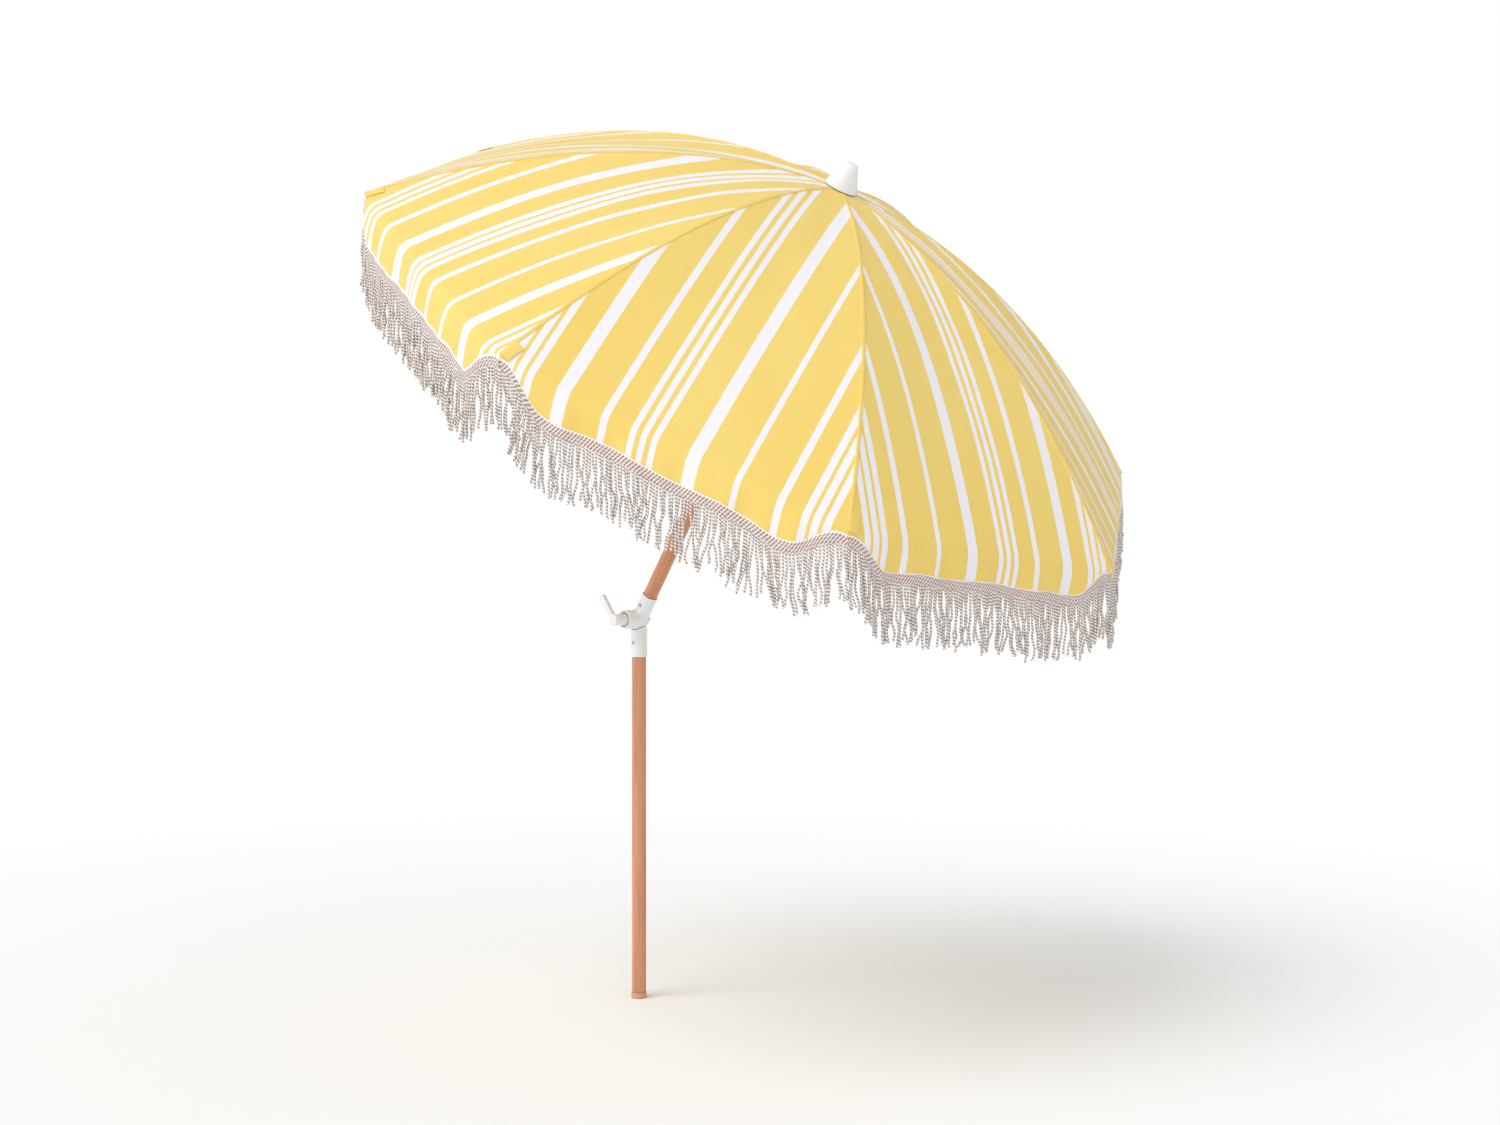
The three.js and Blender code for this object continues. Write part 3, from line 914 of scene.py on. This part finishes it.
def thickenCords(graph, given, cords):
    # a tube along each cord; each point keeps its place around and along, which the twist follows
    rail = graph.node("GeometryNodeCaptureAttribute", {"domain": "POINT"}, {"Geometry": cords})
    rail.capture_items.new("FLOAT", "along")
    connect(graph.tree, rail.inputs["along"], graph.wire("GeometryNodeSplineParameter", None, None, "Length"))
    circle = graph.wire("GeometryNodeCurvePrimitiveCircle", {"mode": "RADIUS"},
                        {"Resolution": fringeSettings["sides"], "Radius": 1.0})
    ring = graph.node("GeometryNodeCaptureAttribute", {"domain": "POINT"}, {"Geometry": circle})
    ring.capture_items.new("VECTOR", "ring")
    connect(graph.tree, ring.inputs["ring"], graph.wire("GeometryNodeInputPosition"))
    girth = graph.join(given["Radius"], given["Radius"], given["Radius"])
    sized = graph.wire("GeometryNodeTransform", None, {"Geometry": ring.outputs["Geometry"], "Scale": girth})
    tubes = graph.wire("GeometryNodeCurveToMesh", None,
                       {"Curve": rail.outputs["Geometry"], "Profile Curve": sized, "Fill Caps": True})
    ringX, ringY, _ = graph.split(ring.outputs["ring"])
    twist = graph.join(ringX, ringY, rail.outputs["along"])
    return graph.wire("GeometryNodeStoreNamedAttribute", {"data_type": "FLOAT_VECTOR", "domain": "POINT"},
                      {"Geometry": tubes, "Name": "twist", "Value": twist})


def fringeTree():
    graph, given, sockets = newTree("fringeCords", [
        ("Spacing", "NodeSocketFloat"), ("Length", "NodeSocketFloat"), ("Radius", "NodeSocketFloat"),
        ("Clump", "NodeSocketFloat"), ("Sway", "NodeSocketFloat"), ("Seed", "NodeSocketInt"),
        ("Along", "NodeSocketVector"), ("Material", "NodeSocketMaterial")])
    cords, root = hangCords(graph, given)
    swayed = swayCords(graph, given, cords, root)
    endTree(graph, thickenCords(graph, given, swayed), given["Material"])
    return graph.tree, sockets


def hemPath(k, drop, steps, inset, raised=0.0, lift=0.0):
    # points along the hem, or raised up the cloth from it
    length = rimEdge(k)[1]
    points = []
    for i in range(steps + 1):
        along = length * (inset + (1 - 2 * inset) * i / steps)
        points.append(valancePoint(k, along, hemDepth(k, along, length) - raised, lift) + plumb * drop)
    return points


def makeFringe(k, tree, sockets):
    settings = fringeSettings
    edge = rimEdge(k)[0]
    flatEdge = Vector((edge.x, edge.y, 0)).normalized()
    drop = headerSettings["levels"][-1] - settings["tuck"]
    path = hemPath(k, drop, settings["pathSteps"], settings["pathInset"])
    return bakeNodes(f"fringeCords{k + 1}", path, tree, sockets, {
        "Spacing": settings["spacing"], "Length": settings["length"], "Radius": settings["radius"],
        "Clump": settings["clump"], "Sway": settings["sway"], "Seed": k + settings["firstSeed"],
        "Along": tuple(flatEdge), "Material": finishes["twistedCotton"]})


# the knitted band that the cords hang from, with a scalloped upper edge

headerSettings = {
    "levels": [-0.004, 0.0, 0.005, 0.010, 0.015, 0.020],  # below the hem line
    "swells": [0.0013, 0.0021, 0.0013, 0.0021, 0.0013, 0.0013],  # half the band's thickness at each level
    "columns": 230,
    "inset": 0.0015,
    "scallop": 0.0016,
    "scallopPitch": 0.0075,
}


def makeHeader(k):
    settings = headerSettings
    edge, length = rimEdge(k)
    normal = edge.cross(plumb).normalized()
    outward, _ = panelAxes(k)
    if normal.dot(outward) < 0:
        normal.negate()
    shares = [settings["inset"] + (1 - 2 * settings["inset"]) * j / settings["columns"]
              for j in range(settings["columns"] + 1)]
    inner, outer, uvRows = [], [], []
    for level, swell in zip(settings["levels"], settings["swells"]):
        inside, outside, uvs = [], [], []
        for share in shares:
            along = length * share
            hem = valancePoint(k, along, hemDepth(k, along, length))
            scallop = settings["scallop"] * abs(math.sin(math.pi * along / settings["scallopPitch"]))
            spot = hem + plumb * (level - (scallop if level < 0 else 0.0))
            inside.append(spot - normal * swell)
            outside.append(spot + normal * swell)
            uvs.append((along, level))
        inner.append(inside)
        outer.append(outside)
        uvRows.append(uvs)
    return closedSheet(f"fringeHeader{k + 1}", inner, outer, uvRows, finishes["knittedHeader"])


# seams

seamSettings = {
    "clothWidth": 0.01,
    "halfWidth": 0.0036,
    "rise": 0.0021,
    "under": 0.0001,
    "rows": 90,
    "start": 0.030,
    "fullFrom": 0.12,
    "startShare": 0.35,
    "profile": [(-1.0, 0.35), (-0.86, 0.8), (-0.3, 1.0), (0.3, 1.0), (0.86, 0.8), (1.0, 0.35)],
    "patternWidth": 0.003,
}


def seamPoint(k, radius, aside, lift):
    angle = ribAngles[k]
    outward = leanOut * math.cos(angle) + across * math.sin(angle)
    sideways = mastUp.cross(outward)
    slope = domeSlope(radius)
    normal = (outward * -slope + mastUp) / math.hypot(1, slope)
    return pivot + outward * radius + mastUp * domeStation(radius) + sideways * aside + normal * lift


def makeSeam(k):
    settings = seamSettings
    profile = settings["profile"]
    inner, outer, uvRows = [], [], []
    travel = 0.0
    before = crownOpening
    for i in range(settings["rows"] + 1):
        radius = settings["start"] + (rimRadius - settings["start"]) * i / settings["rows"]
        travel += math.hypot(radius - before, domeStation(radius) - domeStation(before))
        before = radius
        half = settings["halfWidth"] * min(1.0, radius / settings["fullFrom"] + settings["startShare"])
        inner.append([seamPoint(k, radius, side * half, settings["under"]) for side, _ in profile])
        outer.append([seamPoint(k, radius, side * half, settings["rise"] * high) for side, high in profile])
        uvRows.append([(stripeSettings["plain"] + side * settings["patternWidth"], travel)
                       for side, _ in profile])
    return closedSheet(f"seamFold{k + 1}", inner, outer, uvRows, finishes["canopyCloth"])


# stitches

stitchSettings = {
    "length": 0.0034,
    "gap": 0.0056,
    "radius": 0.00035,
    "aside": 0.62,  # of the seam's half width
    "sunk": 0.98,  # of the seam's height
    "start": 0.05,
    "endGap": 0.005,
    "steps": 120,
    "hemSteps": 180,
    "hemInset": 0.012,
    "hemRise": 0.0045,
}


def stitchTree():
    graph, given, sockets = newTree("stitchLine", [
        ("Gap", "NodeSocketFloat"), ("Stitch", "NodeSocketFloat"), ("Radius", "NodeSocketFloat"),
        ("Material", "NodeSocketMaterial")])
    spaced = graph.node("GeometryNodeCurveToPoints", {"mode": "LENGTH"},
                        {"Curve": given["Geometry"], "Length": given["Gap"]})
    capsule = graph.wire("GeometryNodeMeshUVSphere", None, {"Segments": 5, "Rings": 4, "Radius": 1.0})
    size = graph.join(given["Radius"], given["Radius"], Wire(graph.tree, given["Stitch"]) * 0.5)
    laid = graph.wire("GeometryNodeInstanceOnPoints", None,
                      {"Points": spaced.outputs["Points"], "Instance": capsule,
                       "Rotation": spaced.outputs["Rotation"], "Scale": size})
    endTree(graph, laid, given["Material"])
    return graph.tree, sockets


def makeStitches(name, path, tree, sockets):
    settings = stitchSettings
    return bakeNodes(name, path, tree, sockets, {
        "Gap": settings["gap"], "Stitch": settings["length"], "Radius": settings["radius"],
        "Material": finishes["stitchThread"]})


def makeSeamStitches(k, side, tree, sockets):
    settings = stitchSettings
    aside = side * seamSettings["halfWidth"] * settings["aside"]
    lift = seamSettings["rise"] * settings["sunk"]
    reach = rimRadius - settings["start"] - settings["endGap"]
    radii = [settings["start"] + reach * i / settings["steps"] for i in range(settings["steps"] + 1)]
    path = [seamPoint(k, radius, aside, lift) for radius in radii]
    return makeStitches(f"seamStitches{k + 1}{'Left' if side < 0 else 'Right'}", path, tree, sockets)


def makeHemStitches(k, tree, sockets):
    settings = stitchSettings
    path = hemPath(k, 0.0, settings["hemSteps"], settings["hemInset"], settings["hemRise"],
                   canopySettings["skinHigh"])
    return makeStitches(f"hemStitches{k + 1}", path, tree, sockets)


# rib pockets

pocketSettings = {
    "width": 0.024,
    "length": 0.036,
    "rise": 0.0028,
    "shift": 0.007,  # aside from the rib's middle
    "thickness": 0.0009,
    "cells": 8,
    "reach": 0.85,
    "droop": 0.55,
    "edgeDrop": 0.35,
    "patternShare": 0.2,
}


def makePocket(k):
    settings = pocketSettings
    cells = settings["cells"]
    inner, outer, uvRows = [], [], []
    for i in range(cells + 1):
        radius = rimRadius - settings["length"] * (1 - i / cells) * settings["reach"]
        fallRate = math.tan(ribStep / 2) * abs(domeSlope(radius)) * settings["droop"]
        rowIn, rowOut, uvs = [], [], []
        for j in range(cells + 1):
            aside = settings["width"] * (j / cells - 0.5) + settings["shift"]
            swell = settings["rise"] * (1 - (2 * j / cells - 1) ** 4 * settings["edgeDrop"])
            height = swell - abs(aside) * fallRate
            rowIn.append(seamPoint(k, radius, aside, height - settings["thickness"]))
            rowOut.append(seamPoint(k, radius, aside, height))
            pattern = stripeSettings["plain"] + aside * settings["patternShare"]
            uvs.append((pattern, i / cells * settings["length"]))
        inner.append(rowIn)
        outer.append(rowOut)
        uvRows.append(uvs)
    return closedSheet(f"ribPocket{k + 1}", inner, outer, uvRows, finishes["canopyCloth"])


# the canopy, panel by panel

fringeNodes, fringeSockets = fringeTree()
stitchNodes, stitchSockets = stitchTree()
for k in range(ribCount):
    body = f"panel_{k + 1}"
    outward, sideways = panelAxes(k)
    middle = pivot + outward * (rimRadius * math.cos(ribStep / 2)) + mastUp * rimStation
    panel, panelLength = makePanel(k)
    valance, rimLength = makeValance(k)
    header = makeHeader(k)
    fringe = makeFringe(k, fringeNodes, fringeSockets)
    hemStitches = makeHemStitches(k, stitchNodes, stitchSockets)
    seam = makeSeam(k)
    pocket = makePocket(k)
    stitches = [makeSeamStitches(k, side, stitchNodes, stitchSockets) for side in (-1, 1)]

    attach(panel, body)
    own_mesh(panel)
    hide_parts(f"canopy_panel_{k + 1}")
    for piece in (valance, header, fringe, hemStitches):
        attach(piece, f"valance_{k + 1}")
        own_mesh(piece)
        "canopy_cloth" if piece in (valance, hemStitches) else "fringe_cotton"
    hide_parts(f"valance_panel_{k + 1}")
    for piece in (seam, pocket, *stitches):
        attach(piece, f"rib_{k + 1}")

    depth = valanceSettings["depth"]
    rimLength * panelLength * canopySettings["areaShare"]
    rimLength * depth * valanceSettings["areaShare"]
print("canopy made:", ribCount, "panels")


# rigid pieces: finer copies of the frame's own shapes

refineSettings = {
    "merge": 0.00001,
    "flat": 0.6,  # degrees between faces that are joined into one
    "sharp": 34,
    "bevelSegments": 2,
}


def refine(node, name, finish, bevel, sharp=refineSettings["sharp"]):
    settings = refineSettings
    source = nodes[node]
    work = bmesh.new()
    work.from_mesh(source.data)
    bmesh.ops.remove_doubles(work, verts=work.verts, dist=settings["merge"])
    flat = math.radians(settings["flat"])
    bmesh.ops.dissolve_limit(work, angle_limit=flat, verts=work.verts, edges=work.edges)
    bmesh.ops.recalc_face_normals(work, faces=work.faces)
    mesh = bpy.data.meshes.new(name)
    work.to_mesh(mesh)
    work.free()
    mesh.materials.clear()
    mesh.materials.append(finishes[finish])
    mesh.polygons.foreach_set("use_smooth", [True] * len(mesh.polygons))
    mesh.set_sharp_from_angle(angle=math.radians(sharp))
    made = bpy.data.objects.new(name, mesh)
    bpy.context.scene.collection.objects.link(made)
    if bevel:
        modifier = made.modifiers.new("edges", "BEVEL")
        modifier.width = bevel
        modifier.segments = settings["bevelSegments"]
        modifier.limit_method = "ANGLE"
        modifier.angle_limit = math.radians(sharp)
        modifier.harden_normals = True
    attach(made, source["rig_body"])
    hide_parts(node)
    return made


softenSettings = {
    "voxel": 0.0009,
    "flow": 0.5,
    "clearance": 0.0003,  # drawn in by this much, so that neighbours don't touch
}


def soften(made, rounds):
    # flows the corners of a moulding into each other
    settings = softenSettings
    remesh = made.modifiers.new("voxels", "REMESH")
    remesh.mode = "VOXEL"
    remesh.voxel_size = settings["voxel"]
    remesh.use_smooth_shade = True
    smooth = made.modifiers.new("flow", "SMOOTH")
    smooth.factor = settings["flow"]
    smooth.iterations = rounds
    ease = made.modifiers.new("clearance", "DISPLACE")
    ease.strength = -settings["clearance"]
    ease.mid_level = 0.0
    bpy.context.view_layer.update()
    depsgraph = bpy.context.evaluated_depsgraph_get()
    mesh = bpy.data.meshes.new_from_object(made.evaluated_get(depsgraph), depsgraph=depsgraph)
    made.modifiers.clear()
    made.data = mesh


# poles, turned about their axis

poleSettings = {
    "radius": 0.016,
    "edge": 0.0012,
    "sides": 64,
    "lengths": 12,
    "crease": 40,
}


def lathe(name, start, axis, profile, material):
    # from (radius, distance) pairs that start and end on the axis
    sides = poleSettings["sides"]
    axis = axis.normalized()
    first = axis.orthogonal().normalized()
    second = axis.cross(first)
    points = [start + axis * profile[0][1]]
    for radius, distance in profile[1:-1]:
        for i in range(sides):
            angle = 2 * math.pi * i / sides
            outward = first * math.cos(angle) + second * math.sin(angle)
            points.append(start + axis * distance + outward * radius)
    points.append(start + axis * profile[-1][1])
    rings = len(profile) - 2
    last = len(points) - 1
    faces = []
    for i in range(sides):
        follow = (i + 1) % sides
        faces.append((0, 1 + follow, 1 + i))
        faces.append((last, 1 + (rings - 1) * sides + i, 1 + (rings - 1) * sides + follow))
        for r in range(rings - 1):
            a = 1 + r * sides + i
            b = 1 + r * sides + follow
            faces.append((a, b, b + sides, a + sides))
    made = makePiece(name, points, faces, material)
    faceOut(made)
    made.data.set_sharp_from_angle(angle=math.radians(poleSettings["crease"]))
    return made


def makePole(node, name, body, start, end, finish):
    settings = poleSettings
    length = (end - start).length
    radius = settings["radius"]
    edge = settings["edge"]
    nearEdge = edge * 0.3  # the middle point of the rounded end
    profile = [(0, 0), (radius - edge, 0), (radius - nearEdge, nearEdge), (radius, edge)]
    profile += [(radius, length * i / settings["lengths"]) for i in range(1, settings["lengths"])]
    profile += [(radius, length - edge), (radius - nearEdge, length - nearEdge), (radius - edge, length)]
    profile.append((0, length))
    made = lathe(name, start, end - start, profile, finishes[finish])
    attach(made, body)
    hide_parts(node)


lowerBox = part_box("lower_pole")
lowerEnds = [Vector((0, 0, corner.z)) for corner in lowerBox]
makePole("lower_pole", "lowerPole", "base", lowerEnds[0], lowerEnds[1], "lowerTimber")
upperStations = [toMast(vertex.co).z for vertex in nodes["upper_pole"].data.vertices]
upperEnds = [fromMast(0, 0, station) for station in (min(upperStations), max(upperStations))]
makePole("upper_pole", "upperPole", "mast", upperEnds[0], upperEnds[1], "upperTimber")

refine("foot_cap", "footCap", "clearPlastic", 0.0005)
soften(refine("lower_knuckle", "lowerKnuckle", "whitePlastic", 0.0), 6)
soften(refine("upper_knuckle", "upperKnuckle", "whitePlastic", 0.0), 20)
refine("tilt_lever", "tiltLever", "whitePlastic", 0.0012)
refine("finial", "finialCap", "whitePlastic", 0.001)
refine("crown_hub", "crownHub", "whitePlastic", 0.0004)
refine("runner", "runnerBody", "whitePlastic", 0.0004)
refine("runner_button", "runnerButton", "whitePlastic", 0.0006)
steelNames = {
    "lower_screw": "lowerScrew",
    "upper_screw": "upperScrew",
    "clamp_bolt": "clampBolt",
    "clamp_washer": "clampWasher",
    "crown_washer": "crownWasher",
    "hinge_wire": "hingeWire",
}
for node, name in steelNames.items():
    refine(node, name, "zincSteel", 0.0002)
tubeSharp = 50  # the rods and their tips have few sides, which should read as round
for k in range(1, ribCount + 1):
    refine(f"rib_{k}", f"ribRod{k}", "powderCoat", 0.0, tubeSharp)
    refine(f"stretcher_{k}", f"stretcherBar{k}", "powderCoat", 0.0005)
    refine(f"rib_tip_{k}", f"ribTip{k}", "whitePlastic", 0.0003, tubeSharp)
print("rigid pieces made")


# floor, light and view

studioSettings = {
    "floorSize": 40.0,
    "floorDrop": 0.0004,
    "floorColor": rgb(0.96, 0.96, 0.96),
    "floorTone": rgb(0.95, 0.95, 0.95),
    "fadeFrom": 0.9,  # the floor turns to plain white over this stretch
    "fadeOver": 2.6,
    "skyLight": 0.56,
    # each sun's share from the right, the front and above, its strength and its spread
    "suns": [("key", (-0.75, 0.75, 1.25), 1.5, 42),
             ("fill", (0.35, 1.0, 0.12), 0.56, 70),
             ("side", (-1.0, 0.25, 0.3), 0.5, 30)],
}


def addSun(name, toward, strength, spread):
    data = bpy.data.lights.new(name, "SUN")
    data.energy = strength
    data.angle = math.radians(spread)
    lamp = bpy.data.objects.new(name, data)
    lamp.rotation_euler = toward.to_track_quat("Z", "Y").to_euler()
    bpy.context.scene.collection.objects.link(lamp)


def makeFloor(settings):
    mesh = bpy.data.meshes.new("studioFloor")
    half = settings["floorSize"]
    corners = [(-half, -half), (half, -half), (half, half), (-half, half)]
    mesh.from_pydata([(x, y, -settings["floorDrop"]) for x, y in corners], [], [(0, 1, 2, 3)])
    material, graph = newMaterial("studioFloor")
    spot = graph.place()
    tone = graph.noise(spot, scale=1.5)
    color = graph.mixColor(tone, settings["floorColor"], settings["floorTone"])
    setShader(graph, Base_Color=color, Roughness=0.8)
    reach = graph.wire("ShaderNodeVectorMath", {"operation": "LENGTH"}, {0: spot}, "Value")
    fade = ((reach - settings["fadeFrom"]) / settings["fadeOver"]).clamped()
    glow = graph.node("ShaderNodeEmission", None, {"Color": rgb(1, 1, 1), "Strength": 1.0})
    mixed = graph.node("ShaderNodeMixShader", None, {"Fac": fade})
    connect(graph.tree, mixed.inputs[1], graph.shader.outputs[0])
    connect(graph.tree, mixed.inputs[2], glow.outputs[0])
    connect(graph.tree, graph.tree.nodes["Material Output"].inputs["Surface"], mixed.outputs[0])
    mesh.materials.append(material)
    floor = bpy.data.objects.new("studioFloor", mesh)
    bpy.context.scene.collection.objects.link(floor)


def makeLight(settings):
    world = bpy.data.worlds.new("studio")
    bpy.context.scene.world = world
    world.use_nodes = True
    graph = Graph(world.node_tree)
    seen = graph.wire("ShaderNodeLightPath", None, None, "Is Camera Ray")
    background = world.node_tree.nodes["Background"]
    background.inputs["Color"].default_value = rgb(1, 1, 1)
    strength = seen * (1.0 - settings["skyLight"]) + settings["skyLight"]
    connect(world.node_tree, background.inputs["Strength"], strength)

    look = math.radians(cameraSettings["lookAzimuth"])
    right = Vector((math.cos(look), math.sin(look), 0))
    toCamera = Vector((math.sin(look), -math.cos(look), 0))
    for name, (fromRight, fromFront, fromAbove), strength, spread in settings["suns"]:
        toward = right * fromRight + toCamera * fromFront - plumb * fromAbove
        addSun(name, toward.normalized(), strength, spread)
    bpy.context.scene.view_settings.view_transform = "Standard"


makeFloor(studioSettings)
makeLight(studioSettings)
print("studio set")
